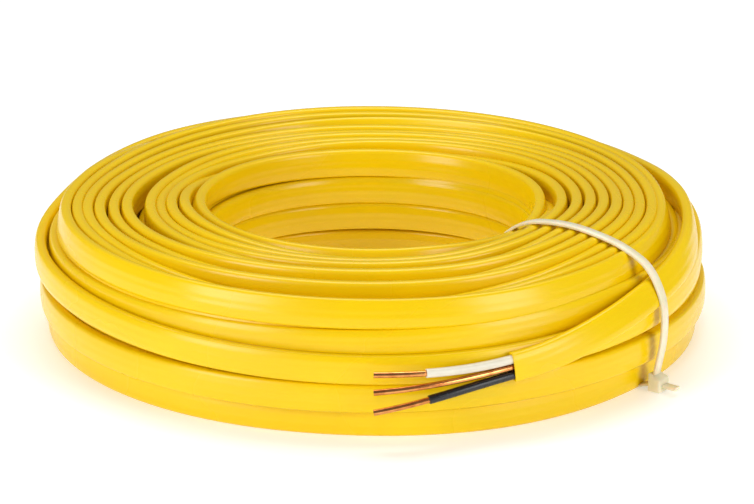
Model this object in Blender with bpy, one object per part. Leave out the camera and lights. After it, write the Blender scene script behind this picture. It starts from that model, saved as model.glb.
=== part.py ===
"""Coil of flat yellow building cable, tied once, with its free end stripped.

Two insulated conductors and a bare ground lie side by side in a flat PVC
sheath. The cable is wound in five layers around an open bore and held by one
nylon tie. Units are metres, +Z is up and the coil lies flat on the floor.
The origin is the middle of the footprint, at floor level.
"""

import math

import bmesh
import bpy
from mathutils import Vector

# Cable; the sheath fits closely round two insulated conductors and the bare
# ground between them, so the copper takes up what its width leaves
CABLE_WIDTH = 0.0102
SHEATH_WALL = 0.00065
INSULATION_WALL = 0.000475
CAVITY_GAP = 0.00015
CONDUCTOR_GAP = 0.000275
CAVITY_WIDTH = CABLE_WIDTH - 2 * SHEATH_WALL
COPPER_RADIUS = (CAVITY_WIDTH / 2 - CAVITY_GAP - CONDUCTOR_GAP - 2 * INSULATION_WALL) / 3
INSULATION_RADIUS = COPPER_RADIUS + INSULATION_WALL
CONDUCTOR_SPACING = INSULATION_RADIUS + CONDUCTOR_GAP + COPPER_RADIUS
CAVITY_THICKNESS = 2 * (INSULATION_RADIUS + CAVITY_GAP)
CABLE_THICKNESS = CAVITY_THICKNESS + 2 * SHEATH_WALL

# Winding, listed from the bottom layer to the top one
LAYER_NESTING = 0.0006
LAYER_PITCH = CABLE_WIDTH - LAYER_NESTING
BORE_RADII = (0.0515, 0.0515, 0.0515, 0.0515, 0.0545)
OUTER_RADII = (0.1125, 0.1165, 0.1185, 0.1185, 0.1075)
TURN_GAP = 0.0001
TURN_PITCH = CABLE_THICKNESS + TURN_GAP
GROOVE_DEPTH = 0.0011
EDGE_ROUNDING = 0.0014
COIL_SIDES = 36

# Free end of the cable; angles are about the coil's axis, 0 along +X
END_ANGLE = -69.2
TAIL_START_ANGLE = -33.0
END_HEIGHT = 0.0240
TAIL_START_HEIGHT = 0.0356
TAIL_SINK = 0.0004
TAIL_STEPS = 12
CAVITY_DEPTH = 0.008

# Stripped conductors, from the sheath's mouth to their tips
TIP_ANGLE = -90.5
TIP_STANDOFF = 0.0070
INSULATION_LENGTH = 0.0285
WHITE_TIP_RISE = 0.0025
GROUND_TIP_RISE = -0.0037
BLACK_TIP_RISE = -0.0107
WIRE_SIDES = 8
WIRE_STEPS = 9

# Cable tie
TIE_ANGLE = -36.5
STRAP_WIDTH = 0.0036
STRAP_THICKNESS = 0.00105
STRAP_FLOOR_GAP = 0.0002
STRAP_ARCH = 0.0008
HEAD_DEPTH = 0.0050
HEAD_WIDTH = 0.0063
HEAD_HEIGHT = 0.0066
HEAD_FLOOR_GAP = 0.0002
HEAD_OVERHANG = 0.0006
HEAD_BEVEL = 0.0009
STUB_LENGTH = 0.0054
STUB_RISE = 0.0023
FILLET_STEPS = 4

# Fillets of the strap's path, in the order of its corners
HEAD_FILLET = 0.0020
FOOT_FILLET = 0.0060
BORE_FOOT_FILLET = 0.0012
BORE_FILLET = 0.0050
RIM_FILLET = 0.0030
TOP_FILLET = 0.0300
SHOULDER_FILLET = 0.0050
WALL_FILLET = 0.0200
FOOT_INSET = 0.0010

CUTTER_MARGIN = 0.002

SEAT_GAP = 0.0003
WIRE_GAP = 0.0002

COIL_HEIGHT = LAYER_PITCH * (len(OUTER_RADII) - 1) + CABLE_WIDTH
WALL_RADIUS = max(OUTER_RADII)

YELLOW = (0.90, 0.58, 0.012)
WHITE = (0.83, 0.80, 0.72)
BLACK = (0.016, 0.017, 0.019)
COPPER = (0.86, 0.36, 0.19)
NYLON = (0.82, 0.76, 0.60)


def clear_scene():
    """Remove whatever the scene holds."""
    for item in list(bpy.data.objects):
        bpy.data.objects.remove(item, do_unlink=True)


def material(name, colour, roughness, metallic=0.0):
    """A plain Principled material."""
    made = bpy.data.materials.new(name)
    made.use_nodes = True
    shader = made.node_tree.nodes["Principled BSDF"]
    shader.inputs["Base Color"].default_value = (*colour, 1.0)
    shader.inputs["Roughness"].default_value = roughness
    shader.inputs["Metallic"].default_value = metallic
    return made


def add_object(name, bm, finish, parent, smooth_angle=40.0):
    """Turn a bmesh into a named object under the coil's axis."""
    bmesh.ops.recalc_face_normals(bm, faces=bm.faces)
    mesh = bpy.data.meshes.new(name)
    bm.to_mesh(mesh)
    bm.free()
    mesh.shade_smooth()
    mesh.set_sharp_from_angle(angle=math.radians(smooth_angle))
    mesh.materials.append(finish)
    made = bpy.data.objects.new(name, mesh)
    made.parent = parent
    bpy.context.collection.objects.link(made)
    return made


def as_guide(item):
    """Mark an object as a tool shape that isn't a piece."""
    item.hide_render = True
    item.display_type = "WIRE"
    return item


def add_boolean(target, tool, operation):
    """Join or cut a piece with a guide shape."""
    modifier = target.modifiers.new(f"{operation.lower()}_{tool.name}", "BOOLEAN")
    modifier.object = tool
    modifier.operation = operation
    modifier.solver = "EXACT"


def polar(angle, radius, height):
    """Point at an angle in degrees and a radius from the coil's axis."""
    turn = math.radians(angle)
    return Vector((radius * math.cos(turn), radius * math.sin(turn), height))


def seam_height(layer):
    """Height of the seam below a layer; nested edges share it."""
    return layer * LAYER_PITCH + (CABLE_WIDTH - LAYER_PITCH) / 2


def ridge_points(start, stop, height, inward):
    """Rounded turn edges across an end face, from one radius to another.

    inward is +1 where the material lies below the face and -1 where it lies above.
    """
    count = max(1, round(abs(stop - start) / TURN_PITCH))
    step = (stop - start) / count
    shoulder = step * EDGE_ROUNDING / TURN_PITCH
    points = []
    for turn in range(count):
        edge = start + turn * step
        if turn:
            points.append((edge, height - inward * GROOVE_DEPTH))
        points.append((edge + shoulder, height))
        points.append((edge + step - shoulder, height))
    return points


def wall_points(radii, out):
    """Layer faces up a wall, with a groove at each seam.

    out is +1 on the outer wall and -1 in the bore.
    """
    points = []
    for layer, radius in enumerate(radii):
        low = 0.0 if layer == 0 else seam_height(layer)
        high = COIL_HEIGHT if layer == len(radii) - 1 else seam_height(layer + 1)
        points.append((radius, low + EDGE_ROUNDING))
        points.append((radius, high - EDGE_ROUNDING))
        if layer < len(radii) - 1:
            above = radii[layer + 1]
            if out * (radius - above) > TURN_PITCH:
                points.extend(ridge_points(radius, above, high, 1))
            else:
                deeper = min(radius * out, above * out) * out
                points.append((deeper - out * GROOVE_DEPTH, high))
    return points


def coil_profile():
    """Closed outline of the wound section as (radius, height) pairs."""
    under = ridge_points(BORE_RADII[0], OUTER_RADII[0], 0.0, -1)
    outside = wall_points(OUTER_RADII, 1)
    top = ridge_points(OUTER_RADII[-1], BORE_RADII[-1], COIL_HEIGHT, 1)
    bore = wall_points(BORE_RADII, -1)
    return under + outside + top + list(reversed(bore))


def turned_coil(finish, parent):
    """The wound turns as one turned solid with its bore."""
    bm = bmesh.new()
    ring = [bm.verts.new((radius, 0.0, height)) for radius, height in coil_profile()]
    edges = [bm.edges.new((a, b)) for a, b in zip(ring, ring[1:] + ring[:1])]
    bmesh.ops.spin(
        bm,
        geom=ring + edges,
        cent=(0, 0, 0),
        axis=(0, 0, 1),
        angle=math.tau,
        steps=COIL_SIDES,
        use_merge=True,
    )
    bmesh.ops.remove_doubles(bm, verts=bm.verts, dist=1e-6)
    return add_object("cable_coil", bm, finish, parent)


def smoothstep(share):
    """Ease from 0 to 1."""
    share = min(1.0, max(0.0, share))
    return share * share * (3 - 2 * share)


def tail_frame(angle):
    """Centre, direction, upward width and outward thickness of the free end."""

    def centre(at):
        share = (TAIL_START_ANGLE - at) / (TAIL_START_ANGLE - END_ANGLE)
        flush = WALL_RADIUS - CABLE_THICKNESS / 2 - TAIL_SINK
        radius = flush + (CABLE_THICKNESS - SEAT_GAP) * smoothstep(1.25 * share - 0.25)
        height = TAIL_START_HEIGHT + (END_HEIGHT - TAIL_START_HEIGHT) * share ** 1.35
        return polar(at, radius, height)

    here = centre(angle)
    direction = (centre(angle - 0.25) - here).normalized()
    outward = polar(angle, 1.0, 0.0)
    width = outward.cross(direction).normalized()
    if width.z < 0:
        width = -width
    return here, direction, width, direction.cross(width).normalized()


def oval(width, thickness, corners):
    """Flat-sided section with round edges, as (width, thickness) offsets."""
    radius = thickness / 2
    straight = width / 2 - radius
    points = []
    for side, first in ((1, -90), (-1, 90)):
        for step in range(corners + 1):
            turn = math.radians(first + 180 * step / corners)
            points.append((side * straight + radius * math.cos(turn), radius * math.sin(turn)))
    return points


def circle(radius):
    """Round section as offsets."""
    turns = [math.tau * (step + 0.5) / WIRE_SIDES for step in range(WIRE_SIDES)]
    return [(radius * math.cos(turn), radius * math.sin(turn)) for turn in turns]


def skin(bm, rings):
    """Bridge rings of vertices that hold the same number of points."""
    for low, high in zip(rings, rings[1:]):
        for index in range(len(low)):
            after = (index + 1) % len(low)
            bm.faces.new((low[index], low[after], high[after], high[index]))


def sweep(frames, section, inner=None):
    """Sweep a section along frames, solid or with an inner wall."""
    bm = bmesh.new()

    def rings_of(outline):
        return [
            [bm.verts.new(centre + across * a + out * b) for a, b in outline]
            for centre, across, out in frames
        ]

    outer_rings = rings_of(section)
    skin(bm, outer_rings)
    if inner is None:
        bm.faces.new(outer_rings[0])
        bm.faces.new(outer_rings[-1])
    else:
        inner_rings = rings_of(inner)
        skin(bm, inner_rings)
        skin(bm, [outer_rings[0], inner_rings[0]])
        skin(bm, [outer_rings[-1], inner_rings[-1]])
    bmesh.ops.triangulate(bm, faces=[face for face in bm.faces if len(face.verts) > 4])
    return bm


def tail_solid(finish, parent):
    """The last of the outermost turn, which leaves the wall and ends in the open."""
    frames = []
    for step in range(TAIL_STEPS + 1):
        angle = TAIL_START_ANGLE + (END_ANGLE - TAIL_START_ANGLE) * step / TAIL_STEPS
        centre, _, width, outward = tail_frame(angle)
        frames.append((centre, width, outward))
    bm = sweep(frames, oval(CABLE_WIDTH, CABLE_THICKNESS, 4))
    return as_guide(add_object("free_end_shape", bm, finish, parent))


def cavity_angle(depth):
    """Angle at a depth inside the sheath's mouth."""
    return END_ANGLE + math.degrees(depth / WALL_RADIUS)


def cavity_cutter(finish, parent):
    """The sheath's own cavity at its cut end, which the conductors leave."""
    frames = []
    for depth in (-CUTTER_MARGIN, 0.0, CAVITY_DEPTH / 2, CAVITY_DEPTH):
        centre, direction, width, outward = tail_frame(max(END_ANGLE, cavity_angle(depth)))
        if depth < 0:
            centre = centre - direction * depth
        frames.append((centre, width, outward))
    bm = sweep(frames, oval(CAVITY_WIDTH, CAVITY_THICKNESS, 6))
    return as_guide(add_object("sheath_cavity_shape", bm, finish, parent))


def bezier(points, share):
    """Point on a cubic curve."""
    rest = 1 - share
    weights = (rest**3, 3 * rest**2 * share, 3 * rest * share**2, share**3)
    return sum((point * weight for point, weight in zip(points, weights)), Vector())


def conductor_path(offset, tip_rise):
    """Centres of one conductor from inside the sheath to its tip."""
    inside = []
    for step in range(3):
        depth = (CAVITY_DEPTH - SEAT_GAP) * (3 - step) / 3
        centre, _, width, _ = tail_frame(cavity_angle(depth))
        inside.append(centre + width * offset)
    mouth, direction, width, _ = tail_frame(END_ANGLE)
    start = mouth + width * offset
    tip = polar(TIP_ANGLE, WALL_RADIUS + TIP_STANDOFF, END_HEIGHT + tip_rise)
    reach = (tip - start).length / 3
    along = polar(TIP_ANGLE + 90, -1.0, 0.0)
    along = (along + Vector((0, 0, 1)) * (tip.z - start.z) / (3 * reach) * 1.2).normalized()
    handles = (start, start + direction * reach, tip - along * reach, tip)
    outside = [bezier(handles, step / WIRE_STEPS) for step in range(WIRE_STEPS + 1)]
    return inside + outside


def wire_frames(path):
    """Frames along a path, with the second axis kept level."""
    frames = []
    for index, centre in enumerate(path):
        ahead = path[min(index + 1, len(path) - 1)] - path[max(index - 1, 0)]
        level = Vector((0, 0, 1)).cross(ahead).normalized()
        frames.append((centre, ahead.cross(level).normalized(), level))
    return frames


def trimmed(path, length_outside):
    """The part of a path up to a length past the sheath's mouth."""
    mouth = 3
    kept = path[: mouth + 1]
    left = length_outside
    for here, after in zip(path[mouth:], path[mouth + 1 :]):
        step = (after - here).length
        if step >= left:
            kept.append(here.lerp(after, left / step))
            break
        kept.append(after)
        left -= step
    return kept


def add_conductors(finishes, parent):
    """Two insulated conductors and the bare ground; returns their centre lines."""
    paths = {
        "white": conductor_path(CONDUCTOR_SPACING, WHITE_TIP_RISE),
        "ground": conductor_path(0.0, GROUND_TIP_RISE),
        "black": conductor_path(-CONDUCTOR_SPACING, BLACK_TIP_RISE),
    }
    for name, path in paths.items():
        bm = sweep(wire_frames(path), circle(COPPER_RADIUS))
        add_object(f"{name}_copper", bm, finishes["copper"], parent)
    for name in ("white", "black"):
        covered = wire_frames(trimmed(paths[name], INSULATION_LENGTH))
        bm = sweep(covered, circle(INSULATION_RADIUS), circle(COPPER_RADIUS + WIRE_GAP / 2))
        add_object(f"{name}_insulation", bm, finishes[name], parent)
    return paths


def filleted(corners):
    """Path through (radius, height, fillet) corners in the tie's own plane."""
    points = []
    for index, (radius, height, fillet) in enumerate(corners):
        corner = Vector((radius, height))
        if fillet == 0:
            points.append(corner)
            continue
        before = (Vector(corners[index - 1][:2]) - corner).normalized()
        after = (Vector(corners[index + 1][:2]) - corner).normalized()
        half = before.angle(after) / 2
        cut = fillet / math.tan(half)
        middle = corner + (before + after).normalized() * fillet / math.sin(half)
        first = corner + before * cut - middle
        last = corner + after * cut - middle
        for step in range(FILLET_STEPS + 1):
            arm = first.lerp(last, step / FILLET_STEPS).normalized() * fillet
            points.append(middle + arm)
    return points


def strap_path():
    """Centre line of the strap, from its cut stub right round to the head's top."""
    off = SEAT_GAP + STRAP_THICKNESS / 2
    floor = STRAP_FLOOR_GAP + STRAP_THICKNESS / 2
    rim = COIL_HEIGHT + off
    head_inner = OUTER_RADII[1] + HEAD_OVERHANG
    head_outer = head_inner + HEAD_DEPTH
    middle = (BORE_RADII[-1] + OUTER_RADII[-1]) / 2
    corners = [
        (head_outer + STUB_LENGTH, STUB_RISE, 0),
        (head_inner, STUB_RISE, HEAD_FILLET),
        (OUTER_RADII[0] - FOOT_INSET, floor, FOOT_FILLET),
        (BORE_RADII[0] - off, floor, BORE_FOOT_FILLET),
        (BORE_RADII[-2] - off, seam_height(4), BORE_FILLET),
        (BORE_RADII[-1] - off, rim, EDGE_ROUNDING + off),
        (middle, rim + STRAP_ARCH, TOP_FILLET),
        (OUTER_RADII[-1], rim, RIM_FILLET),
        (WALL_RADIUS + off, seam_height(4), SHOULDER_FILLET),
        (WALL_RADIUS + off, seam_height(2), WALL_FILLET),
        (head_inner + STRAP_THICKNESS / 2, HEAD_HEIGHT, 0),
        (head_inner + STRAP_THICKNESS / 2, HEAD_FLOOR_GAP + HEAD_HEIGHT / 2, 0),
    ]
    return filleted(corners)


def tie_plane(radius, height, across=0.0):
    """Point in the tie's plane, moved sideways by a width."""
    side = polar(TIE_ANGLE + 90, 1.0, 0.0)
    return polar(TIE_ANGLE, radius, height) + side * across


def add_tie(finish, parent):
    """One moulded nylon tie: strap, head and the stub left past the head."""
    path = strap_path()
    side = polar(TIE_ANGLE + 90, 1.0, 0.0)
    frames = []
    for index, point in enumerate(path):
        ahead = path[min(index + 1, len(path) - 1)] - path[max(index - 1, 0)]
        normal = Vector((ahead.y, -ahead.x)).normalized()
        out = tie_plane(normal.x, normal.y)
        frames.append((tie_plane(point.x, point.y), side, out))
    half_width = STRAP_WIDTH / 2
    half_thick = STRAP_THICKNESS / 2
    section = [
        (-half_width, -half_thick),
        (half_width, -half_thick),
        (half_width, half_thick),
        (-half_width, half_thick),
    ]
    tie = add_object("cable_tie", sweep(frames, section), finish, parent)

    bm = bmesh.new()
    bmesh.ops.create_cube(bm, size=1.0)
    inner = OUTER_RADII[1] + HEAD_OVERHANG
    for vert in bm.verts:
        radius = inner + (vert.co.x + 0.5) * HEAD_DEPTH
        height = HEAD_FLOOR_GAP + (vert.co.z + 0.5) * HEAD_HEIGHT
        vert.co = tie_plane(radius, height, vert.co.y * HEAD_WIDTH)
    bmesh.ops.bevel(
        bm,
        geom=bm.edges[:],
        offset=HEAD_BEVEL,
        segments=1,
        affect="EDGES",
    )
    bmesh.ops.triangulate(bm, faces=bm.faces)
    head = as_guide(add_object("tie_head_shape", bm, finish, parent))
    add_boolean(tie, head, "UNION")
    return tie


def channel_cutter(finish, parent):
    """Room under the coil where the soft turns give way to the strap."""
    bm = bmesh.new()
    bmesh.ops.create_cube(bm, size=1.0)
    roof = STRAP_FLOOR_GAP + STRAP_THICKNESS + SEAT_GAP
    low = -CUTTER_MARGIN
    start = BORE_RADII[0] - 2 * CUTTER_MARGIN
    stop = OUTER_RADII[0] + 2 * CUTTER_MARGIN
    for vert in bm.verts:
        radius = start + (vert.co.x + 0.5) * (stop - start)
        height = low + (vert.co.z + 0.5) * (roof - low)
        vert.co = tie_plane(radius, height, vert.co.y * (STRAP_WIDTH + 2 * SEAT_GAP))
    return as_guide(add_object("strap_channel_shape", bm, finish, parent))


def main():
    """Build every piece around the coil's axis and centre the footprint."""
    clear_scene()
    sheath = material("yellow_sheath", YELLOW, 0.34)
    finishes = {
        "white": material("white_insulation", WHITE, 0.42),
        "black": material("black_insulation", BLACK, 0.36),
        "copper": material("bare_copper", COPPER, 0.28, 1.0),
    }
    nylon = material("natural_nylon", NYLON, 0.40)

    axis = bpy.data.objects.new("coil_axis", None)
    bpy.context.collection.objects.link(axis)

    coil = turned_coil(sheath, axis)
    add_boolean(coil, tail_solid(sheath, axis), "UNION")
    add_boolean(coil, cavity_cutter(sheath, axis), "DIFFERENCE")
    add_boolean(coil, channel_cutter(sheath, axis), "DIFFERENCE")
    paths = add_conductors(finishes, axis)
    add_tie(nylon, axis)

    front = max(-point.y for path in paths.values() for point in path) + COPPER_RADIUS
    axis.location.y = (front - WALL_RADIUS) / 2


main()
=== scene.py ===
"""Looks of a coil of flat yellow building cable, tied once, with a stripped end.

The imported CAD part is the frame. The wound cable is drawn as real turns: a flat
sheath swept along every turn of five layers, with its free end, its stripped
conductors and the nylon tie. Lengths are metres unless a name ends in _mm.
"""

import logging
import math
import random
from dataclasses import dataclass, field
from enum import Enum
from typing import Iterable, Sequence

import bmesh
import bpy
from bmesh.types import BMesh, BMVert
from bpy.types import Material, Node, NodeSocket, NodeTree, Object
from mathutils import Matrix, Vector
from mathutils.geometry import interpolate_bezier


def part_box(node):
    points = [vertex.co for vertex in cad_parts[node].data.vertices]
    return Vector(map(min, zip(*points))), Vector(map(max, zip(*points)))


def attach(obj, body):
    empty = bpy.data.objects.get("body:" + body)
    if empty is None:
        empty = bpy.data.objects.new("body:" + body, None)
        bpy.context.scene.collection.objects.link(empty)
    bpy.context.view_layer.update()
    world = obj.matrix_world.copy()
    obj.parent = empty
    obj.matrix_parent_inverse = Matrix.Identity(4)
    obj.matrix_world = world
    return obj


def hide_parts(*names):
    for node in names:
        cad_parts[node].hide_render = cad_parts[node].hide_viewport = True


log = logging.getLogger("cable_coil")
MM = 0.001
BODY = "root"
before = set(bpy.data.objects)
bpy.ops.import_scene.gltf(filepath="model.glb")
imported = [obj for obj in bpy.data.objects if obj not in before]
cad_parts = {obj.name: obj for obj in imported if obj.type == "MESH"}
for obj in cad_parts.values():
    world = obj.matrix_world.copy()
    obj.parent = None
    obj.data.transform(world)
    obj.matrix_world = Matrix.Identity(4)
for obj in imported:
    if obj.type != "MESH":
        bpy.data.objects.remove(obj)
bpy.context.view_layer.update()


# ---- measures


def coil_axis() -> Vector:
    """Foot of the bore's axis: the coil is as wide as it is deep behind it."""
    _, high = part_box("cable_coil")
    return Vector((0.0, high.y - high.x, 0.0))


AXIS = coil_axis()


@dataclass(frozen=True)
class Sides:
    """A measure in mm that changes smoothly round the coil, given at four sides."""

    left: float
    front: float
    right: float
    back: float

    def at(self, angle: float) -> float:
        """Measure at an angle in degrees, 0 at the right and -90 at the front.

        Args:
            angle: direction from the coil's axis, in degrees.

        Returns:
            The measure there, in mm.
        """
        turn = math.radians(angle)
        mean = (self.left + self.front + self.right + self.back) / 4
        across = (self.right - self.left) / 2
        along = (self.back - self.front) / 2
        square = (self.right + self.left - self.front - self.back) / 4
        return (
            mean
            + across * math.cos(turn)
            + along * math.sin(turn)
            + square * math.cos(2 * turn)
        )


@dataclass(frozen=True)
class Station:
    """One point of a cable's centre line, as it lies in the coil."""

    angle: float
    radius_mm: float
    height_mm: float
    lean: float = 0.0

    def point(self) -> Vector:
        """Place of the station in the row frame."""
        turn = math.radians(self.angle)
        radius = self.radius_mm * MM
        return AXIS + Vector(
            (radius * math.cos(turn), radius * math.sin(turn), self.height_mm * MM)
        )


@dataclass
class Strand:
    """A run of cable: its stations, and whether its two ends meet."""

    stations: list[Station]
    closed: bool = False


def smooth_step(value: float, start: float = 0.0, end: float = 1.0) -> float:
    """Ease from 0 to 1, while a value goes from the start to the end."""
    share = min(1.0, max(0.0, (value - start) / (end - start)))
    return share * share * (3 - 2 * share)


def through(keys: Sequence[Station], angle: float) -> Station:
    """Point on a smooth curve through given stations.

    Args:
        keys: stations in order of their angle.
        angle: where to read the curve, in degrees.

    Returns:
        The station at that angle.
    """
    last = len(keys) - 1
    index = next((i for i in range(last) if angle <= keys[i + 1].angle), last - 1)
    here, after = keys[index], keys[index + 1]
    span = after.angle - here.angle
    share = (angle - here.angle) / span

    def slope(name: str, at: int) -> float:
        low, high = keys[max(at - 1, 0)], keys[min(at + 1, last)]
        return (getattr(high, name) - getattr(low, name)) / (high.angle - low.angle)

    def value(name: str) -> float:
        squared, cubed = share**2, share**3
        return (
            (2 * cubed - 3 * squared + 1) * getattr(here, name)
            + (cubed - 2 * squared + share) * span * slope(name, index)
            + (3 * squared - 2 * cubed) * getattr(after, name)
            + (cubed - squared) * span * slope(name, index + 1)
        )

    return Station(angle, value("radius_mm"), value("height_mm"), value("lean"))


class Wander:
    """Small, smooth and repeatable unevenness of a hand-pulled winding."""

    def __init__(self, seed: int, reach_mm: float) -> None:
        """Choose the waves.

        Args:
            seed: fixed seed of this turn.
            reach_mm: size of the largest wave, in mm.
        """
        source = random.Random(seed)
        self.waves = [
            (count, source.uniform(0.3, 1.0) * reach_mm / count, source.uniform(0, 360))
            for count in (1, 2, 3, 5)
        ]

    def at(self, angle: float) -> float:
        """Offset at an angle, in mm."""
        return sum(
            size * math.sin(math.radians(count * angle + shift))
            for count, size, shift in self.waves
        )


# ---- materials


def linear(code: str) -> tuple[float, float, float, float]:
    """Turn an sRGB hex colour into linear red, green, blue and alpha."""
    channels = [int(code[i : i + 2], 16) / 255 for i in (1, 3, 5)]
    bent = [c / 12.92 if c <= 0.04045 else ((c + 0.055) / 1.055) ** 2.4 for c in channels]
    return (bent[0], bent[1], bent[2], 1.0)


def add_node(tree: NodeTree, kind: str, inputs: dict | None = None, **settings: object) -> Node:
    """Add one node with its settings and links.

    Args:
        tree: the tree that gets the node.
        kind: Blender's name of the node's type.
        inputs: values or output sockets, by input name or number.
        settings: properties of the node.

    Returns:
        The new node.
    """
    node = tree.nodes.new(kind)
    for name, value in settings.items():
        setattr(node, name, value)
    for key, value in (inputs or {}).items():
        socket = node.inputs[key]
        if isinstance(value, NodeSocket):
            tree.links.new(value, socket)
        else:
            socket.default_value = value
    return node


# how much longer than wide the die's lines are drawn, as a share of the length
LINE_STRETCH = 0.012


@dataclass(frozen=True)
class Finish:
    """A surface: what it is made of and how the real one was made."""

    name: str
    colour: str
    darker: str
    roughness: float
    roughness_spread: float
    patch_mm: float
    grain_mm: float
    grain_height_mm: float
    metallic: float = 0.0
    ior: float = 1.5
    specular: float = 0.5
    soft_light: float = 0.0
    soft_depth_mm: float = 1.0
    line_mm: float = 0.0
    line_height_mm: float = 0.0
    core_pitch_mm: float = 0.0
    core_height_mm: float = 0.0

    def _relief(self, tree: NodeTree, place: NodeSocket) -> NodeSocket:
        """Height of the surface in metres: grain, drawn lines, and cores showing through.

        Args:
            tree: the material's tree.
            place: object coordinates.

        Returns:
            The height.
        """
        grain = add_node(
            tree,
            "ShaderNodeTexNoise",
            {"Vector": place, "Scale": 1 / (self.grain_mm * MM), "Detail": 2.0},
        )
        reliefs = [(grain.outputs["Fac"], self.grain_height_mm)]
        if self.line_mm:
            along, across = (
                add_node(tree, "ShaderNodeAttribute", attribute_name=name).outputs["Fac"]
                for name in ("along", "across")
            )
            drawn = add_node(
                tree, "ShaderNodeMath", {0: along, 1: LINE_STRETCH}, operation="MULTIPLY"
            )
            lane = add_node(tree, "ShaderNodeCombineXYZ", {"X": drawn.outputs[0], "Y": across})
            lines = add_node(
                tree,
                "ShaderNodeTexNoise",
                {"Vector": lane.outputs[0], "Scale": 1 / (self.line_mm * MM), "Detail": 2.0},
            )
            pitch = math.tau / (self.core_pitch_mm * MM)
            turn = add_node(tree, "ShaderNodeMath", {0: across, 1: pitch}, operation="MULTIPLY")
            cores = add_node(tree, "ShaderNodeMath", {0: turn.outputs[0]}, operation="COSINE")
            reliefs.append((lines.outputs["Fac"], self.line_height_mm))
            reliefs.append((cores.outputs[0], self.core_height_mm))
        total = 0.0
        for height, size in reliefs:
            total = add_node(
                tree,
                "ShaderNodeMath",
                {0: height, 1: size * MM, 2: total},
                operation="MULTIPLY_ADD",
            ).outputs[0]
        return total

    def material(self) -> Material:
        """Build the material: uneven colour, uneven gloss and a fine grain.

        Returns:
            The finished material.
        """
        made = bpy.data.materials.new(self.name)
        made.use_nodes = True
        tree = made.node_tree
        shader = tree.nodes["Principled BSDF"]
        place = add_node(tree, "ShaderNodeTexCoord").outputs["Object"]
        patches = add_node(
            tree,
            "ShaderNodeTexNoise",
            {"Vector": place, "Scale": 1 / (self.patch_mm * MM), "Detail": 3.0},
        ).outputs["Fac"]
        tint = add_node(tree, "ShaderNodeValToRGB", {"Fac": patches})
        stops = ((0.30, self.darker), (0.62, self.colour))
        for stop, (place_on, code) in zip(tint.color_ramp.elements, stops):
            stop.position, stop.color = place_on, linear(code)
        gloss = add_node(
            tree,
            "ShaderNodeMapRange",
            {
                "Value": patches,
                "From Min": 0.3,
                "From Max": 0.7,
                "To Min": self.roughness + self.roughness_spread,
                "To Max": self.roughness - self.roughness_spread,
            },
        )
        bump = add_node(
            tree,
            "ShaderNodeBump",
            {"Height": self._relief(tree, place), "Distance": 1.0, "Strength": 1.0},
        )
        links = {
            "Base Color": tint.outputs["Color"],
            "Roughness": gloss.outputs["Result"],
            "Normal": bump.outputs["Normal"],
        }
        for name, socket in links.items():
            tree.links.new(socket, shader.inputs[name])
        values = {
            "Metallic": self.metallic,
            "IOR": self.ior,
            "Specular IOR Level": self.specular,
            "Subsurface Weight": self.soft_light,
            "Subsurface Scale": self.soft_depth_mm * MM,
        }
        for name, value in values.items():
            shader.inputs[name].default_value = value
        return made


# Extruded PVC, pulled hot through a die: satin gloss, with flow lines along it
# and the three cores just showing through as soft ridges.
SHEATH = Finish(
    "yellow_extruded_pvc", "#F0C900", "#E9C100", 0.27, 0.04, 60.0, 2.2, 0.012,
    ior=1.53, specular=0.32, soft_light=0.05, soft_depth_mm=1.0,
    line_mm=0.9, line_height_mm=0.012, core_pitch_mm=2.8, core_height_mm=0.03,
)
# Thin nylon-skinned PVC over the phase wires: smooth, with a slight sheen.
WHITE_PVC = Finish(
    "white_wire_insulation", "#E2DCC9", "#D6CEB9", 0.30, 0.05, 6.0, 0.9, 0.02, ior=1.53,
)
BLACK_PVC = Finish(
    "black_wire_insulation", "#17181B", "#0D0E10", 0.27, 0.06, 6.0, 0.9, 0.02, ior=1.53,
)
# Soft-drawn copper: bright, with die lines and a light handling tarnish.
COPPER = Finish("drawn_copper", "#E29C5C", "#BC6C36", 0.20, 0.06, 4.0, 0.7, 0.015, metallic=1.0)
# Natural moulded nylon: milky, lets light a little way in.
NYLON = Finish(
    "natural_moulded_nylon", "#EFE6C9", "#E5DAB6", 0.36, 0.06, 7.0, 1.1, 0.03,
    ior=1.53, soft_light=0.30, soft_depth_mm=1.2,
)


# ---- sweep


class Profile(Enum):
    """How square a swept section is: powers for its ends and for its faces."""

    ROUND = (1.0, 1.0)
    FLAT_CABLE = (0.85, 0.45)


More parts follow.
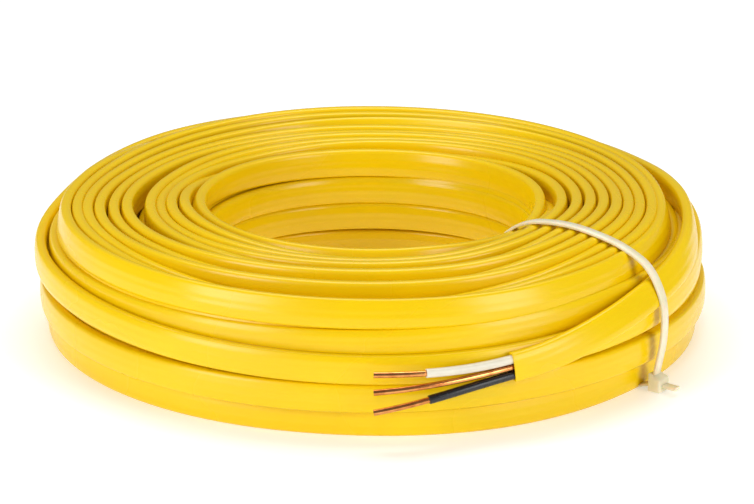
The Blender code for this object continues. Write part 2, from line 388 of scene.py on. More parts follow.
class SweptTree:
    """Geometry Nodes tree that sweeps one section along every strand of a curve."""

    def __init__(self) -> None:
        """Build the tree once, for all swept pieces."""
        self.tree = bpy.data.node_groups.new("swept_section", "GeometryNodeTree")
        face = self.tree.interface
        face.new_socket("Geometry", in_out="INPUT", socket_type="NodeSocketGeometry")
        for name in ("Width", "Thickness", "End Power", "Face Power"):
            face.new_socket(name, in_out="INPUT", socket_type="NodeSocketFloat")
        face.new_socket("Corners", in_out="INPUT", socket_type="NodeSocketInt")
        face.new_socket("Finish", in_out="INPUT", socket_type="NodeSocketMaterial")
        face.new_socket("Geometry", in_out="OUTPUT", socket_type="NodeSocketGeometry")
        self.given = add_node(self.tree, "NodeGroupInput").outputs
        self._build()

    def _bent(self, share: NodeSocket, power: str, size: str) -> NodeSocket:
        """One coordinate of the section, bent from the circle's."""
        sign = add_node(self.tree, "ShaderNodeMath", {0: share}, operation="SIGN").outputs[0]
        value = share
        for operation, other in (
            ("ABSOLUTE", 0.0),
            ("POWER", self.given[power]),
            ("MULTIPLY", sign),
            ("MULTIPLY", self.given[size]),
            ("MULTIPLY", 0.5),
        ):
            value = add_node(
                self.tree, "ShaderNodeMath", {0: value, 1: other}, operation=operation
            ).outputs[0]
        return value

    def _build(self) -> None:
        """Lay out the nodes: section, sweep, length attribute and finish."""
        tree, given = self.tree, self.given
        circle = add_node(
            tree,
            "GeometryNodeCurvePrimitiveCircle",
            {"Resolution": given["Corners"], "Radius": 1.0},
        )
        position = add_node(tree, "GeometryNodeInputPosition").outputs[0]
        parts = add_node(tree, "ShaderNodeSeparateXYZ", {0: position}).outputs
        across = self._bent(parts["X"], "End Power", "Width")
        through_it = self._bent(parts["Y"], "Face Power", "Thickness")
        place = add_node(tree, "ShaderNodeCombineXYZ", {"X": through_it, "Y": across})
        section = add_node(
            tree,
            "GeometryNodeSetPosition",
            {"Geometry": circle.outputs["Curve"], "Position": place.outputs[0]},
        )
        upright = add_node(
            tree, "GeometryNodeSetCurveNormal", {"Curve": given["Geometry"]}, mode="Z_UP"
        )
        length = add_node(tree, "GeometryNodeSplineParameter").outputs["Length"]
        section, upright = (
            add_node(
                tree,
                "GeometryNodeStoreNamedAttribute",
                {"Geometry": node.outputs[0], "Name": name, "Value": value},
                data_type="FLOAT",
                domain="POINT",
            )
            for node, name, value in ((section, "across", parts["Y"]), (upright, "along", length))
        )
        swept = add_node(
            tree,
            "GeometryNodeCurveToMesh",
            {"Curve": upright.outputs[0], "Profile Curve": section.outputs[0], "Fill Caps": True},
        )
        last_steps = (
            ("GeometryNodeSetShadeSmooth", {}),
            ("GeometryNodeRealizeInstances", {}),
            ("GeometryNodeSetMaterial", {"Material": given["Finish"]}),
            ("NodeGroupOutput", {}),
        )
        for kind, inputs in last_steps:
            swept = add_node(tree, kind, {0: swept.outputs[0], **inputs})

    def sweep(
        self,
        name: str,
        lines: Sequence[tuple[Sequence[Vector], Sequence[float], bool]],
        width: float,
        thickness: float,
        profile: Profile,
        finish: Material,
        corners: int,
    ) -> Object:
        """Sweep a section along lines and keep the result as a plain mesh.

        Args:
            name: name of the piece.
            lines: for each line its points, its leans in radians, and if it closes.
            width: size of the section across the lean, upright when lean is 0.
            thickness: size of the section towards the coil's axis.
            profile: how square the section is.
            finish: material of the piece.
            corners: points round the section.

        Returns:
            The mesh object, at the origin.
        """
        data = bpy.data.curves.new(f"{name}_line", "CURVE")
        data.dimensions = "3D"
        for points, leans, closed in lines:
            spline = data.splines.new("POLY")
            spline.points.add(len(points) - 1)
            for spot, point, lean in zip(spline.points, points, leans):
                spot.co = (*point, 1.0)
                spot.tilt = lean
            spline.use_cyclic_u = closed
        line = bpy.data.objects.new(f"{name}_line", data)
        bpy.context.scene.collection.objects.link(line)
        modifier = line.modifiers.new("sweep", "NODES")
        modifier.node_group = self.tree
        values = {
            "Width": width,
            "Thickness": thickness,
            "End Power": profile.value[0],
            "Face Power": profile.value[1],
            "Corners": corners,
            "Finish": finish,
        }
        for socket in self.tree.interface.items_tree:
            if socket.in_out == "INPUT" and socket.name in values:
                modifier[socket.identifier] = values[socket.name]
        graph = bpy.context.evaluated_depsgraph_get()
        mesh = bpy.data.meshes.new_from_object(line.evaluated_get(graph))
        mesh.name = name
        bpy.data.objects.remove(line, do_unlink=True)
        made = bpy.data.objects.new(name, mesh)
        bpy.context.scene.collection.objects.link(made)
        return made


def keep(piece: Object, slot: str, *nodes: str) -> None:
    """Let a piece ride on the coil and stand for CAD nodes.

    Args:
        piece: the finished mesh.
        slot: the record's material slot; not used.
        nodes: CAD nodes that it stands for.
    """
    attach(piece, BODY)
    if nodes:
        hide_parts(*nodes)
    triangles = sum(len(face.vertices) - 2 for face in piece.data.polygons)
    log.info("%s: %d triangles", piece.name, triangles)


def bridge(bm: BMesh, loops: Sequence[Sequence[BMVert]]) -> None:
    """Join each loop of vertices to the next one with faces."""
    for low, high in zip(loops, loops[1:]):
        for index in range(len(low)):
            after = (index + 1) % len(low)
            bm.faces.new((low[index], low[after], high[after], high[index]))


def join(main: Object, others: Iterable[Object]) -> None:
    """Join meshes that are one physical piece into the first one."""
    bm = bmesh.new()
    bm.from_mesh(main.data)
    for other in others:
        bm.from_mesh(other.data)
        bpy.data.objects.remove(other, do_unlink=True)
    bm.to_mesh(main.data)
    bm.free()


def from_bmesh(name: str, bm: BMesh, finish: Material) -> Object:
    """Turn a bmesh into an object at the origin, with one material."""
    bmesh.ops.recalc_face_normals(bm, faces=bm.faces)
    mesh = bpy.data.meshes.new(name)
    bm.to_mesh(mesh)
    bm.free()
    mesh.materials.append(finish)
    mesh.shade_smooth()
    made = bpy.data.objects.new(name, mesh)
    bpy.context.scene.collection.objects.link(made)
    return made


# ---- winding


@dataclass(frozen=True)
class Quirk:
    """A stretch where a turn sinks, rises or tips over between its neighbours."""

    middle: float
    reach: float
    rise_mm: float = 0.0
    lean: float = 0.0

    def weight(self, angle: float) -> float:
        """How much of the quirk there is at an angle, 0 to 1."""
        away = abs((angle - self.middle + 180) % 360 - 180)
        return smooth_step(1 - away / self.reach)


@dataclass(frozen=True)
class Slot:
    """A place in the top layer: its share of the way from bore to rim, and its crest."""

    share: Sides
    crest: Sides
    quirks: tuple[Quirk, ...] = ()
    lean: Sides = Sides(0, 0, 0, 0)


@dataclass
class CableSize:
    """The flat cable itself."""

    width_mm: float = 10.2
    thickness_mm: float = 4.5
    corners: int = 24

    def centre_mm(self, crest_mm: float, lean: float) -> float:
        """Height of the cable's middle, from its upper edge's height."""
        turn = math.radians(abs(lean))
        half = (self.width_mm - self.thickness_mm) / 2
        return crest_mm - half * math.cos(turn) - self.thickness_mm / 2


@dataclass
class FourthLayer:
    """The fourth layer and its outer turns, which end in the stripped end."""

    # angle (0 at the right, counted on over two and a half laps), radius, height, lean
    keys: tuple[Station, ...] = tuple(
        Station(*key)
        for key in (
            (-68.2, 120.1, 23.9, 0), (-63.4, 120.3, 25.3, 5), (-56.6, 119.8, 28.0, 14),
            (-48.5, 118.6, 31.2, 23), (-42, 117.3, 33.4, 29), (-36.5, 116.5, 35.1, 32),
            (-27, 115.2, 37.8, 28), (-18, 113.2, 39.8, 20), (-8, 110.6, 41.2, 12),
            (0, 108.9, 41.6, 8), (12, 107.2, 41.0, 3), (30, 106.4, 39.4, 0),
            (60, 107.6, 38.6, 0), (90, 109.2, 39.2, 0), (118, 111.9, 39.2, 0),
            (135, 113.8, 38.5, 0), (150, 115.5, 36.0, 0), (165, 116.8, 32.4, 0),
            (180, 118.7, 30.2, 0), (192, 119.2, 29.5, 0), (204, 118.8, 28.9, 0),
            (219, 118.0, 27.6, 0), (240, 117.0, 26.0, 0), (270, 116.3, 24.9, 0),
            (291, 115.9, 25.2, 0), (313, 116.0, 26.8, 2), (327, 116.0, 28.4, 4),
            (337, 115.2, 30.0, 4), (350, 113.4, 32.2, 3), (365, 112.4, 33.3, 0),
            (405, 113.0, 33.4, 0), (450, 113.9, 33.4, 0), (495, 112.0, 32.4, 0),
            (520, 111.7, 32.0, 0), (543, 113.8, 31.8, 0), (562, 114.2, 31.8, 0),
            (585, 113.2, 31.8, 0), (630, 112.9, 32.7, 4), (652, 112.3, 34.0, 6),
            (672, 110.8, 34.6, 6), (700, 108.6, 33.8, 2), (720, 108.0, 33.4, 0),
            (765, 108.6, 33.8, 0), (810, 109.2, 33.9, 0),
        )
    )
    outer_mm: Sides = Sides(112.3, 112.9, 108.0, 109.2)
    inner_mm: Sides = Sides(60.0, 60.0, 55.5, 53.3)
    laps: float = 11.0
    height_mm: float = 33.9
    sunk_mm: Sides = Sides(1.5, 0.0, 1.5, 3.0)
    sink_over: float = 60.0
    calm: float = 90.0
    seeds: tuple[int, int] = (411, 412)
    uneven_mm: tuple[float, float] = (0.16, 0.14)
    mouth_depth_mm: float = 8.0
    cut_rounding_mm: float = 0.12

    def station(self, angle: float) -> Station:
        """Station at an angle counted on from the cut end."""
        return through(self.keys, angle)

    def strand(self, step: float) -> Strand:
        """The whole layer as one strand.

        Args:
            step: degrees between two stations.

        Returns:
            The strand, from the cut end's cavity to the bore.
        """
        start = self.keys[0].angle
        start += math.degrees(self.cut_rounding_mm / self.keys[0].radius_mm)
        last = self.keys[-1].angle
        count = math.ceil((last - start) / step)
        found = [self.station(start + (last - start) * i / count) for i in range(count)]
        sideways, upwards = (Wander(*chosen) for chosen in zip(self.seeds, self.uneven_mm))
        total = (self.laps + 1) * 360
        for index in range(round(total / step)):
            gone = index * step
            angle = last + gone
            share = min(1.0, gone / (360 * self.laps))
            ease = smooth_step(gone / self.calm)
            radius = self.outer_mm.at(angle) * (1 - share) + self.inner_mm.at(angle) * share
            sunk = smooth_step(gone, total - 360 - self.sink_over, total - 360)
            found.append(
                Station(
                    angle,
                    radius + sideways.at(angle) * ease,
                    self.height_mm - sunk * self.sunk_mm.at(angle) + upwards.at(angle) * ease,
                )
            )
        return Strand(found)


@dataclass
class TopLayer:
    """The top layer, whose turns were pushed about when the coil was tied."""

    # middle of the outermost turn, angle and radius
    rim: tuple[tuple[float, float], ...] = (
        (-180, 109.4), (-168, 111.4), (-152, 112.4), (-136, 112.4), (-120, 112.0),
        (-105, 111.9), (-90, 111.9), (-75, 111.9), (-66, 110.9), (-59, 109.9),
        (-53, 108.9), (-47, 107.7), (-41, 106.5), (-33, 105.1), (-20, 103.4),
        (-10, 101.6), (0, 100.2), (12, 99.5), (27, 99.1), (46, 99.0), (70, 99.7),
        (90, 100.5), (110, 101.6), (130, 102.7), (150, 103.6), (165, 105.2),
        (174, 107.4), (180, 109.4),
    )
    bore_mm: float = 53.2
    slots: tuple[Slot, ...] = (
        Slot(Sides(1, 1, 1, 1), Sides(48.2, 47.7, 47.9, 48.0), (), Sides(7, 13, 14, 0)),
        Slot(Sides(0.920, 0.905, 0.916, 0.900), Sides(48.0, 47.6, 48.4, 47.4),
             (Quirk(-103, 56, -4.3), Quirk(-30, 34, 0.4))),
        Slot(Sides(0.850, 0.818, 0.820, 0.700), Sides(48.2, 47.6, 48.8, 47.7),
             (Quirk(-98, 60, -5.4), Quirk(-30, 36, 0.8), Quirk(72, 66, 0.0, -42))),
        Slot(Sides(0.770, 0.745, 0.732, 0.536), Sides(48.4, 48.6, 49.0, 47.6),
             (Quirk(-34, 44, 1.3),)),
        Slot(Sides(0.683, 0.663, 0.645, 0.445), Sides(48.2, 47.6, 49.2, 46.9),
             (Quirk(-96, 50, -2.6), Quirk(-34, 44, 2.1))),
        Slot(Sides(0.601, 0.579, 0.550, 0.350), Sides(48.6, 49.5, 49.4, 47.6),
             (Quirk(-34, 44, 1.3),)),
        Slot(Sides(0.458, 0.495, 0.454, 0.262), Sides(48.4, 47.7, 49.2, 47.0),
             (Quirk(-84, 52, -1.8), Quirk(-34, 44, 2.1))),
        Slot(Sides(0.394, 0.411, 0.353, 0.176), Sides(47.6, 48.7, 49.0, 47.2),
             (Quirk(-34, 44, 1.3),)),
        Slot(Sides(0.328, 0.326, 0.242, 0.100), Sides(48.4, 48.1, 48.6, 44.0),
             (Quirk(-34, 44, 0.7),)),
        Slot(Sides(0.253, 0.242, 0.167, 0.090), Sides(48.2, 46.4, 46.0, 36.0),
             (Quirk(40, 80, -6.0),)),
        Slot(Sides(0.253, 0.242, 0.167, 0.090), Sides(40.0, 38.0, 36.0, 30.0)),
    )
    ring: Slot = Slot(
        Sides(0.174, 0.166, 0.090, 0.004), Sides(48.0, 47.9, 47.6, 46.2),
        (Quirk(-36, 42, -2.2),), Sides(15, 16, 1, -4),
    )
    # each lap moves on to the next slot between these angles
    shift: tuple[float, float] = (96.0, 172.0)
    # the run before the first lap lies lower and further out, and closes up between
    # these angles
    lead_in: float = 50.0
    tucked_mm: float = 5.0
    tucked_out_mm: float = 4.6
    rise: tuple[float, float] = (120.0, 170.0)
    close: tuple[float, float] = (110.0, 180.0)
    last_angle: float = 40.0
    calm: float = 30.0
    seeds: tuple[int, int] = (501, 502)
    uneven_mm: tuple[float, float] = (0.12, 0.10)

    def edge(self, angle: float) -> float:
        """Radius of the outermost turn's middle at an angle."""
        angle = (angle + 180) % 360 - 180
        index = next(i for i in range(len(self.rim) - 1) if angle <= self.rim[i + 1][0])
        (low, near), (high, far) = self.rim[index], self.rim[index + 1]
        return near + (far - near) * (angle - low) / (high - low)

    def rounded_edge(self, angle: float) -> float:
        """The same, with its corners smoothed."""
        reach = (-8, -4, 0, 4, 8)
        return sum(self.edge(angle + away) for away in reach) / len(reach)

    def in_slot(self, slot: Slot, angle: float, cable: CableSize) -> Station:
        """Station of a turn that keeps to one slot.

        Args:
            slot: the slot.
            angle: direction in degrees.
            cable: sizes of the cable.

        Returns:
            The station.
        """
        rim = self.rounded_edge(angle)
        radius = self.bore_mm + (rim - self.bore_mm) * slot.share.at(angle)
        crest, lean = slot.crest.at(angle), slot.lean.at(angle)
        for quirk in slot.quirks:
            weight = quirk.weight(angle)
            crest += quirk.rise_mm * weight
            lean += quirk.lean * weight
        return Station(angle, radius, cable.centre_mm(crest, lean), lean)

    def strands(self, cable: CableSize, step: float) -> list[Strand]:
        """Strands of the layer: one wound-in run and the turn round the bore.

        Args:
            cable: sizes of the cable.
            step: degrees between two stations.

        Returns:
            The long strand and the closed one.
        """
        long = []
        laps = len(self.slots) - 1
        first, last = self.lead_in - 360, (laps - 1) * 360 + self.last_angle
        count = round((last - first) / step)
        sideways, upwards = (Wander(*chosen) for chosen in zip(self.seeds, self.uneven_mm))
        for index in range(count + 1):
            gone = first + (last - first) * index / count
            lap = math.floor((gone + 180) / 360)
            angle = (gone + 180) % 360 - 180
            shift = smooth_step(angle, *self.shift)
            here = self.in_slot(self.slots[max(lap, 0)], angle, cable)
            after = self.in_slot(self.slots[min(lap + 1, laps)], angle, cable)
            radius = here.radius_mm * (1 - shift) + after.radius_mm * shift
            height = here.height_mm * (1 - shift) + after.height_mm * shift
            lean = here.lean * (1 - shift) + after.lean * shift
            if lap < 0:
                radius = here.radius_mm + self.tucked_out_mm * (1 - smooth_step(angle, *self.close))
                height = here.height_mm - self.tucked_mm * (1 - smooth_step(angle, *self.rise))
                lean = here.lean
            wave = smooth_step((180 - abs(angle)) / self.calm)
            long.append(
                Station(
                    angle,
                    radius + sideways.at(gone) * wave,
                    height + upwards.at(gone) * wave,
                    lean,
                )
            )
        around = [self.in_slot(self.ring, -180 + i * step, cable) for i in range(round(360 / step))]
        return [Strand(long), Strand(around, closed=True)]


@dataclass
class LowerLayer:
    """One of the three lower layers, whose turns show at its two rims."""

    name: str
    laps: int
    outer_mm: Sides
    height_mm: Sides
    inner_mm: Sides = Sides(60.0, 60.0, 55.5, 53.3)
    sunk_mm: Sides = Sides(1.5, 0.0, 1.5, 3.6)
    bulge: Quirk = Quirk(-70, 36)
    # how much closer the turns lie at the two rims than in between
    crowding: float = 0.16
    uneven_mm: tuple[float, float] = (0.18, 0.16)

    def strand(self, step: float, seed: int) -> Strand:
        """One spiral, with a full turn at the rim and one at the bore.

        Args:
            step: degrees between two stations.
            seed: fixed seed of the layer's unevenness.

        Returns:
            The strand.
        """
        sideways, upwards = (Wander(seed + i, reach) for i, reach in enumerate(self.uneven_mm))
        found = []
        for index in range(round(360 * self.laps / step) + 1):
            gone = index * step
            angle = -90 + gone
            share = min(1.0, max(0.0, (gone - 360) / (360 * (self.laps - 2))))
            share -= self.crowding * math.sin(math.tau * share) / math.tau
            rim = self.outer_mm.at(angle) + self.bulge.rise_mm * self.bulge.weight(angle)
            radius = rim * (1 - share) + self.inner_mm.at(angle) * share
            sunk = self.sunk_mm.at(angle) if gone > 360 * (self.laps - 1) else 0.0
            found.append(
                Station(
                    angle,
                    radius + sideways.at(angle),
                    self.height_mm.at(angle) - sunk + upwards.at(angle),
                )
            )
        return Strand(found)


@dataclass
class WoundCable:
    """The whole length of flat cable, drawn layer by layer."""

    cable: CableSize = field(default_factory=CableSize)
    top: TopLayer = field(default_factory=TopLayer)
    fourth: FourthLayer = field(default_factory=FourthLayer)
    lower: tuple[LowerLayer, ...] = (
        LowerLayer(
            "cable_turns_third",
            13,
            Sides(115.4, 111.4, 112.6, 116.0),
            Sides(24.3, 24.2, 24.3, 24.3),
        ),
        LowerLayer(
            "cable_turns_second",
            13,
            Sides(117.6, 115.0, 114.6, 115.0),
            Sides(14.7, 14.6, 14.9, 14.7),
            Sides(61.5, 61.0, 57.5, 56.5),
            Sides(2.0, 0.0, 2.0, 5.2),
        ),
        LowerLayer(
            "cable_turns_first",
            12,
            Sides(114.9, 111.0, 111.6, 112.0),
            Sides(5.1, 5.1, 5.1, 5.1),
            Sides(64.0, 62.0, 60.0, 58.0),
            Sides(0.0, 0.0, 0.0, 0.0),
            Quirk(-70, 36, 2.0),
        ),
    )
    seeds: tuple[int, ...] = (7, 107, 207)
    top_step: float = 2.5
    lower_step: float = 3.0

    def _declare(self, strands: Sequence[Strand]) -> None:
        """Work out the points of each strand's stations; nothing is done with them.

        Args:
            strands: the strands that it was swept along.
        """
        for strand in strands:
            points = [station.point() for station in strand.stations]

    def _layer(
        self, tree: SweptTree, name: str, strands: Sequence[Strand], finish: Material
    ) -> Object:
        """Sweep the sheath along a layer's strands."""
        lines = [
            (
                [station.point() for station in strand.stations],
                [-math.radians(station.lean) for station in strand.stations],
                strand.closed,
            )
            for strand in strands
        ]
        width, thickness = self.cable.width_mm * MM, self.cable.thickness_mm * MM
        return tree.sweep(
            name, lines, width, thickness, Profile.FLAT_CABLE, finish, self.cable.corners
        )

    def build(self, tree: SweptTree, finish: Material) -> None:
        """Build and keep the five layers.

        Args:
            tree: the sweeping tree.
            finish: the sheath's material.
        """
        layers = {
            "cable_turns_fifth": self.top.strands(self.cable, self.top_step),
            "cable_turns_fourth": [self.fourth.strand(self.top_step)],
        }
        for seed, layer in zip(self.seeds, self.lower):
            layers[layer.name] = [layer.strand(self.lower_step, seed)]
        for name, strands in layers.items():
            piece = self._layer(tree, name, strands, finish)
            if name == "cable_turns_fourth":
                SheathMouth(self.fourth, self.cable).open_end(piece, finish)
            keep(piece, "sheath", "cable_coil")
            self._declare(strands)


@dataclass
class SheathMouth:
    """The cut end of the sheath: its wall, its square cut and the cavity behind it."""

    free_end: FourthLayer
    cable: CableSize
    wall_mm: float = 0.65
    steps: int = 5

    def axes(self, angle: float) -> tuple[Vector, Vector, Vector, Vector]:
        """Centre, direction towards the cut, upward and outward directions there.

        Args:
            angle: angle of the station, in degrees.

        Returns:
            The four vectors.
        """
        here = self.free_end.station(angle)
        ahead = self.free_end.station(angle + 0.5).point()
        direction = (here.point() - ahead).normalized()
        outward = Vector((math.cos(math.radians(angle)), math.sin(math.radians(angle)), 0))
        upward = direction.cross(outward).normalized()
        outward = upward.cross(direction).normalized()
        lean = math.radians(here.lean)
        leaned = upward * math.cos(lean) - outward * math.sin(lean)
        return here.point(), direction, leaned, outward * math.cos(lean) + upward * math.sin(lean)

    def _outline(self, smaller_mm: float) -> list[tuple[float, float]]:
        """The section as the sweeping tree makes it, upward and outward, or a smaller one."""
        width = (self.cable.width_mm - smaller_mm) * MM
        thickness = (self.cable.thickness_mm - smaller_mm) * MM
        ends, faces = Profile.FLAT_CABLE.value
        points = []
        for index in range(self.cable.corners):
            turn = math.tau * index / self.cable.corners
            up, out = math.cos(turn), math.sin(turn)
            points.append(
                (
                    math.copysign(abs(up) ** ends, up) * width / 2,
                    math.copysign(abs(out) ** faces, out) * thickness / 2,
                )
            )
        return points

    def build(self, finish: Material) -> Object:
        """Build the hollow end.

        Args:
            finish: the sheath's material.

        Returns:
            The mesh object.
        """
        start = self.free_end.keys[0]
        depth = self.free_end.mouth_depth_mm
        rounding = self.free_end.cut_rounding_mm
        wall = 2 * self.wall_mm
        rings = [
            (rounding, 0.0),
            (rounding * 0.3, rounding * 0.6),
            (0.0, 2 * rounding),
            (0.0, wall - 2 * rounding),
            (rounding, wall),
        ]
        rings += [(depth * index / self.steps, wall) for index in range(1, self.steps + 1)]
        bm = bmesh.new()
        loops = []
        for inside_mm, smaller in rings:
            angle = start.angle + math.degrees(inside_mm / start.radius_mm)
            centre, _, upward, outward = self.axes(angle)
            outline = self._outline(smaller)
            loops.append([bm.verts.new(centre + upward * a + outward * b) for a, b in outline])
        bridge(bm, loops)
        bm.faces.new(loops[-1])
        return from_bmesh("sheath_mouth", bm, finish)

    def open_end(self, piece: Object, finish: Material) -> None:
        """Swap the swept sheath's closed end for the hollow one.

        Args:
            piece: the swept layer.
            finish: the sheath's material.
        """
        cut = self.free_end.station(self.free_end.keys[0].angle).point()
        bm = bmesh.new()
        bm.from_mesh(piece.data)
        caps = [face for face in bm.faces if len(face.verts) > 4]
        nearest = min(caps, key=lambda face: (face.calc_center_median() - cut).length)
        bmesh.ops.delete(bm, geom=[nearest], context="FACES_ONLY")
        bm.to_mesh(piece.data)
        bm.free()
        join(piece, [self.build(finish)])
        bm = bmesh.new()
        bm.from_mesh(piece.data)
        near = [vert for vert in bm.verts if (vert.co - cut).length < self.cable.width_mm * MM]
        bmesh.ops.remove_doubles(bm, verts=near, dist=0.03 * MM)
        bmesh.ops.recalc_face_normals(bm, faces=bm.faces[:])
        bm.to_mesh(piece.data)
        bm.free()
        piece.data.set_sharp_from_angle(angle=math.radians(60))


# ---- conductors


@dataclass
class StrippedEnd:
    """The white, bare and black conductors that leave the sheath."""

    mouth: SheathMouth
    spacing_mm: float = 2.8
    tip_angle: float = -90.5
    tip_radius_mm: float = 125.5
    tip_heights_mm: tuple[float, float, float] = (26.5, 20.3, 13.3)
    insulation_mm: float = 30.4
    copper_radius_mm: float = 1.025
    insulation_radius_mm: float = 1.5
    clearance_mm: float = 0.1
    cut_rounding_mm: float = 0.12
    droop: float = 0.4
    inside_steps: int = 4
    steps: int = 40
    corners: int = 28
    metal_corners: int = 20

    def path(self, offset_mm: float, tip_height_mm: float) -> list[Vector]:
        """Centre line of one conductor, from the cavity to its tip.

        Args:
            offset_mm: how far above the sheath's middle it leaves.
            tip_height_mm: height of its tip.

        Returns:
            Points along it.
        """
        start = self.mouth.free_end.keys[0]
        depth = self.mouth.free_end.mouth_depth_mm - 3 * self.clearance_mm
        inside = []
        for index in range(self.inside_steps):
            deep = depth * (1 - index / self.inside_steps)
            angle = start.angle + math.degrees(deep / start.radius_mm)
            centre, _, upward, _ = self.mouth.axes(angle)
            inside.append(centre + upward * offset_mm * MM)
        centre, direction, upward, _ = self.mouth.axes(start.angle)
        root = centre + upward * offset_mm * MM
        tip = Station(self.tip_angle, self.tip_radius_mm, tip_height_mm).point()
        reach = (tip - root).length / 3
        sideways = math.radians(self.tip_angle)
        along = Vector((math.sin(sideways), -math.cos(sideways), 0))
        along = (along + Vector((0, 0, (tip.z - root.z) / reach * self.droop))).normalized()
        handles = root + direction * reach, tip - along * reach
        return inside + interpolate_bezier(root, *handles, tip, self.steps + 1)

    def covered(self, path: Sequence[Vector]) -> list[Vector]:
        """The part of a path that its insulation still covers."""
        left = self.insulation_mm * MM
        kept = list(path[: self.inside_steps + 1])
        for here, after in zip(path[self.inside_steps :], path[self.inside_steps + 1 :]):
            step = (after - here).length
            if step >= left:
                kept.append(here.lerp(after, left / step))
                break
            kept.append(after)
            left -= step
        return kept

    def _tube(self, name: str, path: Sequence[Vector], finish: Material) -> Object:
        """Insulation as a tube with a rounded cut and an open bore."""
        outer = self.insulation_radius_mm
        inner = self.copper_radius_mm + self.clearance_mm
        bm = bmesh.new()
        frames = list(path)
        rings = [(point, outer) for point in path]
        ahead = (frames[-1] - frames[-2]).normalized()
        rings[-1] = (frames[-1] - ahead * self.cut_rounding_mm * MM, outer)
        rings.append((frames[-1], outer - self.cut_rounding_mm))
        rings.append((frames[-1], inner))
        rings += [(point, inner) for point in reversed(frames[:-1])]
        loops = []
        for centre, radius in rings:
            nearest = min(range(len(frames)), key=lambda i: (frames[i] - centre).length)
            low, high = frames[max(nearest - 1, 0)], frames[min(nearest + 1, len(frames) - 1)]
            direction = (high - low).normalized()
            side = direction.cross(Vector((0, 0, 1))).normalized()
            up = side.cross(direction)
            loops.append(
                [
                    bm.verts.new(
                        centre
                        + (side * math.cos(turn) + up * math.sin(turn)) * radius * MM
                    )
                    for turn in (math.tau * i / self.corners for i in range(self.corners))
                ]
            )
        bridge(bm, loops + loops[:1])
        return from_bmesh(name, bm, finish)

    def build(self, tree: SweptTree, white: Material, black: Material, copper: Material) -> None:
        """Build the three conductors.

        Args:
            tree: the sweeping tree.
            white: finish of the white insulation.
            black: finish of the black insulation.
            copper: finish of the metal.
        """
        wires = (
            ("white", self.spacing_mm, white),
            ("ground", 0.0, None),
            ("black", -self.spacing_mm, black),
        )
        for (name, offset, finish), height in zip(wires, self.tip_heights_mm):
            path = self.path(offset, height)
            size = 2 * self.copper_radius_mm * MM
            metal = tree.sweep(
                f"{name}_wire",
                [(path, [0.0] * len(path), False)],
                size,
                size,
                Profile.ROUND,
                copper,
                self.metal_corners,
            )
            keep(metal, "copper", f"{name}_copper")
            if finish is not None:
                tube = self._tube(f"{name}_cover", self.covered(path), finish)
                keep(tube, f"{name}_insulation", f"{name}_insulation")


# ---- tie


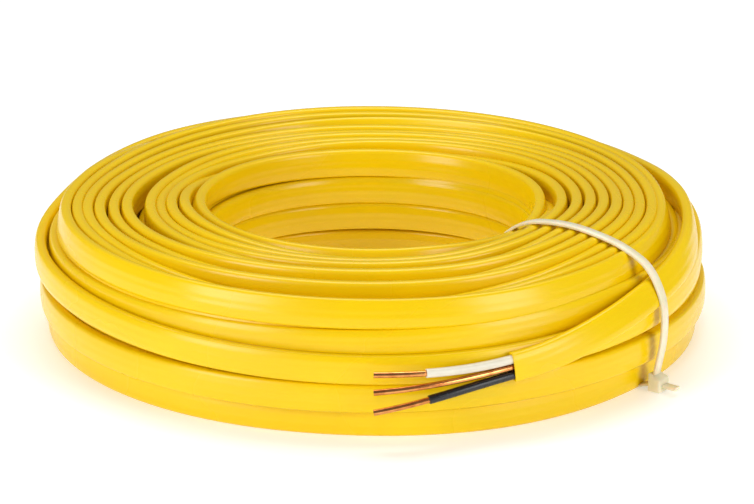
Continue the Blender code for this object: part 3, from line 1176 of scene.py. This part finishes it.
@dataclass
class CableTie:
    """The nylon tie: strap, head and the stub left past the head."""

    angle: float = -36.8
    width_mm: float = 3.6
    thickness_mm: float = 1.05
    head_depth_mm: float = 5.0
    head_width_mm: float = 6.3
    head_inner_mm: float = 117.1
    head_heights_mm: tuple[float, float] = (6.8, 5.0)
    head_lift_mm: float = 0.2
    head_rounding_mm: float = 0.9
    edge_mm: float = 0.22
    steps: int = 4
    # centre line in the tie's own plane: radius and height, up the outside,
    # over the top and down the bore, then back under the coil
    line_mm: tuple[tuple[float, float], ...] = (
        (118.2, 3.2), (118.9, 6.7), (120.0, 12.0), (121.0, 17.0), (121.5, 22.5),
        (121.4, 27.9), (120.6, 33.1), (118.3, 38.4), (115.2, 42.8), (111.0, 45.9),
        (102.9, 49.1), (94.7, 50.8), (86.0, 51.8), (78.2, 51.8), (70.0, 50.8),
        (65.8, 49.7), (61.6, 47.9), (58.6, 45.8), (56.2, 43.6), (54.8, 40.6),
        (54.2, 36.0), (54.1, 20.0), (54.3, 4.0), (55.2, 1.4), (58.0, 0.75),
        (85.0, 0.75), (110.0, 0.75), (114.5, 1.4), (117.6, 2.3), (122.5, 2.5),
        (127.2, 2.4),
    )

    def place(self, radius_mm: float, height_mm: float, across_mm: float = 0.0) -> Vector:
        """Point in the tie's plane, moved sideways."""
        turn = math.radians(self.angle)
        side = Vector((-math.sin(turn), math.cos(turn), 0)) * across_mm * MM
        return Station(self.angle, radius_mm, height_mm).point() + side

    def _smooth_line(self) -> list[Vector]:
        """Points on a smooth curve through the strap's centre line."""
        line = [Vector(point) for point in self.line_mm]
        slopes = [
            (line[min(i + 1, len(line) - 1)] - line[max(i - 1, 0)]) / 6 for i in range(len(line))
        ]
        found = []
        for low, high, out, back in zip(line, line[1:], slopes, slopes[1:]):
            found += interpolate_bezier(low, low + out, high - back, high, self.steps + 1)[:-1]
        return found + line[-1:]

    def build(self, finish: Material) -> None:
        """Build the strap and its head as one moulded piece.

        Args:
            finish: the nylon.
        """
        half, thick = self.width_mm / 2, self.thickness_mm / 2
        edge = self.edge_mm
        section = (
            (-half + edge, -thick), (half - edge, -thick), (half, -thick + edge),
            (half, thick - edge), (half - edge, thick), (-half + edge, thick),
            (-half, thick - edge), (-half, -thick + edge),
        )
        line = self._smooth_line()
        bm = bmesh.new()
        loops = []
        for index, (radius, height) in enumerate(line):
            low, high = line[max(index - 1, 0)], line[min(index + 1, len(line) - 1)]
            ahead = Vector((high[0] - low[0], high[1] - low[1])).normalized()
            loops.append(
                [
                    bm.verts.new(
                        self.place(radius - ahead.y * -out, height + ahead.x * -out, across)
                    )
                    for across, out in section
                ]
            )
        bridge(bm, loops)
        bm.faces.new(loops[0])
        bm.faces.new(loops[-1])
        strap = from_bmesh("cable_tie_strap", bm, finish)
        join(strap, [self._head(finish)])
        strap.data.set_sharp_from_angle(angle=math.radians(50))
        keep(strap, "nylon", "cable_tie")

    def _head(self, finish: Material) -> Object:
        """The head: a rounded block whose top slopes away from the strap."""
        bm = bmesh.new()
        bmesh.ops.create_cube(bm, size=1.0)
        for vert in bm.verts:
            out = vert.co.x + 0.5
            top = self.head_heights_mm[0] * (1 - out) + self.head_heights_mm[1] * out
            height = self.head_lift_mm + (vert.co.z + 0.5) * (top - self.head_lift_mm)
            vert.co = self.place(
                self.head_inner_mm + out * self.head_depth_mm,
                height,
                vert.co.y * self.head_width_mm,
            )
        bmesh.ops.bevel(
            bm,
            geom=bm.edges[:],
            offset=self.head_rounding_mm * MM,
            segments=4,
            affect="EDGES",
            profile=0.6,
        )
        return from_bmesh("cable_tie_head", bm, finish)


# ---- studio


@dataclass
class Studio:
    """Pale floor, white surroundings, soft lights and the camera."""

    distance: float = 1.4
    elevation: float = 19.3
    aim_height: float = 0.025
    lens_mm: float = 187.9
    floor_size: float = 6.0
    floor_glow: float = 0.30
    surround: float = 0.22

    def build(self) -> None:
        """Set up the floor, the lights and the camera."""
        scene = bpy.context.scene
        scene.view_settings.view_transform = "Standard"
        world = bpy.data.worlds.new("white_studio")
        world.use_nodes = True
        back = world.node_tree.nodes["Background"]
        back.inputs["Color"].default_value = linear("#FFFFFF")
        back.inputs["Strength"].default_value = self.surround
        scene.world = world

        bm = bmesh.new()
        bmesh.ops.create_grid(bm, x_segments=1, y_segments=1, size=self.floor_size / 2)
        paper = Finish("white_paper_floor", "#F4F4F4", "#F1F1F1", 0.6, 0.02, 200.0, 3.0, 0.005)
        material = paper.material()
        shader = material.node_tree.nodes["Principled BSDF"]
        shader.inputs["Emission Color"].default_value = linear("#FFFFFF")
        shader.inputs["Emission Strength"].default_value = self.floor_glow
        floor = from_bmesh("floor", bm, material)

        self._softbox("left_softbox", (-0.95, -0.80, 0.42), (0.55, 0.80), 9.0)
        self._softbox("right_softbox", (0.95, -0.80, 0.42), (0.55, 0.80), 7.6)
        self._softbox("top_softbox", (0.0, 0.35, 1.2), (1.1, 0.7), 10.5)
        self._camera()

    def _softbox(
        self,
        name: str,
        place: tuple[float, float, float],
        size: tuple[float, float],
        power: float,
    ) -> None:
        """Add a rectangular soft light that faces the coil.

        Args:
            name: name of the light.
            place: where it stands.
            size: its width and height.
            power: its power in watts.
        """
        light = bpy.data.lights.new(name, "AREA")
        light.shape = "RECTANGLE"
        light.size, light.size_y = size
        light.energy = power
        lamp = bpy.data.objects.new(name, light)
        lamp.location = place
        towards = AXIS + Vector((0, 0, self.aim_height)) - Vector(place)
        lamp.rotation_euler = towards.to_track_quat("-Z", "Y").to_euler()
        bpy.context.scene.collection.objects.link(lamp)

    def _camera(self) -> None:
        """Place the camera at the photograph's angle."""
        data = bpy.data.cameras.new("camera")
        data.lens = self.lens_mm
        data.clip_end = 20.0
        camera = bpy.data.objects.new("camera", data)
        rise = math.radians(self.elevation)
        aim = AXIS + Vector((0, 0, self.aim_height))
        back = Vector((0, -math.cos(rise), math.sin(rise)))
        camera.location = aim + back * self.distance
        camera.rotation_euler = (-back).to_track_quat("-Z", "Y").to_euler()
        bpy.context.scene.collection.objects.link(camera)
        bpy.context.scene.camera = camera


def main() -> None:
    """Build every piece in order."""
    logging.basicConfig(level=logging.INFO, format="%(name)s: %(message)s")
    Studio().build()
    tree = SweptTree()
    cable = WoundCable()
    cable.build(tree, SHEATH.material())
    copper = COPPER.material()
    mouth = SheathMouth(cable.fourth, cable.cable)
    StrippedEnd(mouth).build(tree, WHITE_PVC.material(), BLACK_PVC.material(), copper)
    CableTie().build(NYLON.material())
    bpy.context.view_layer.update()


if __name__ == "__main__":
    main()
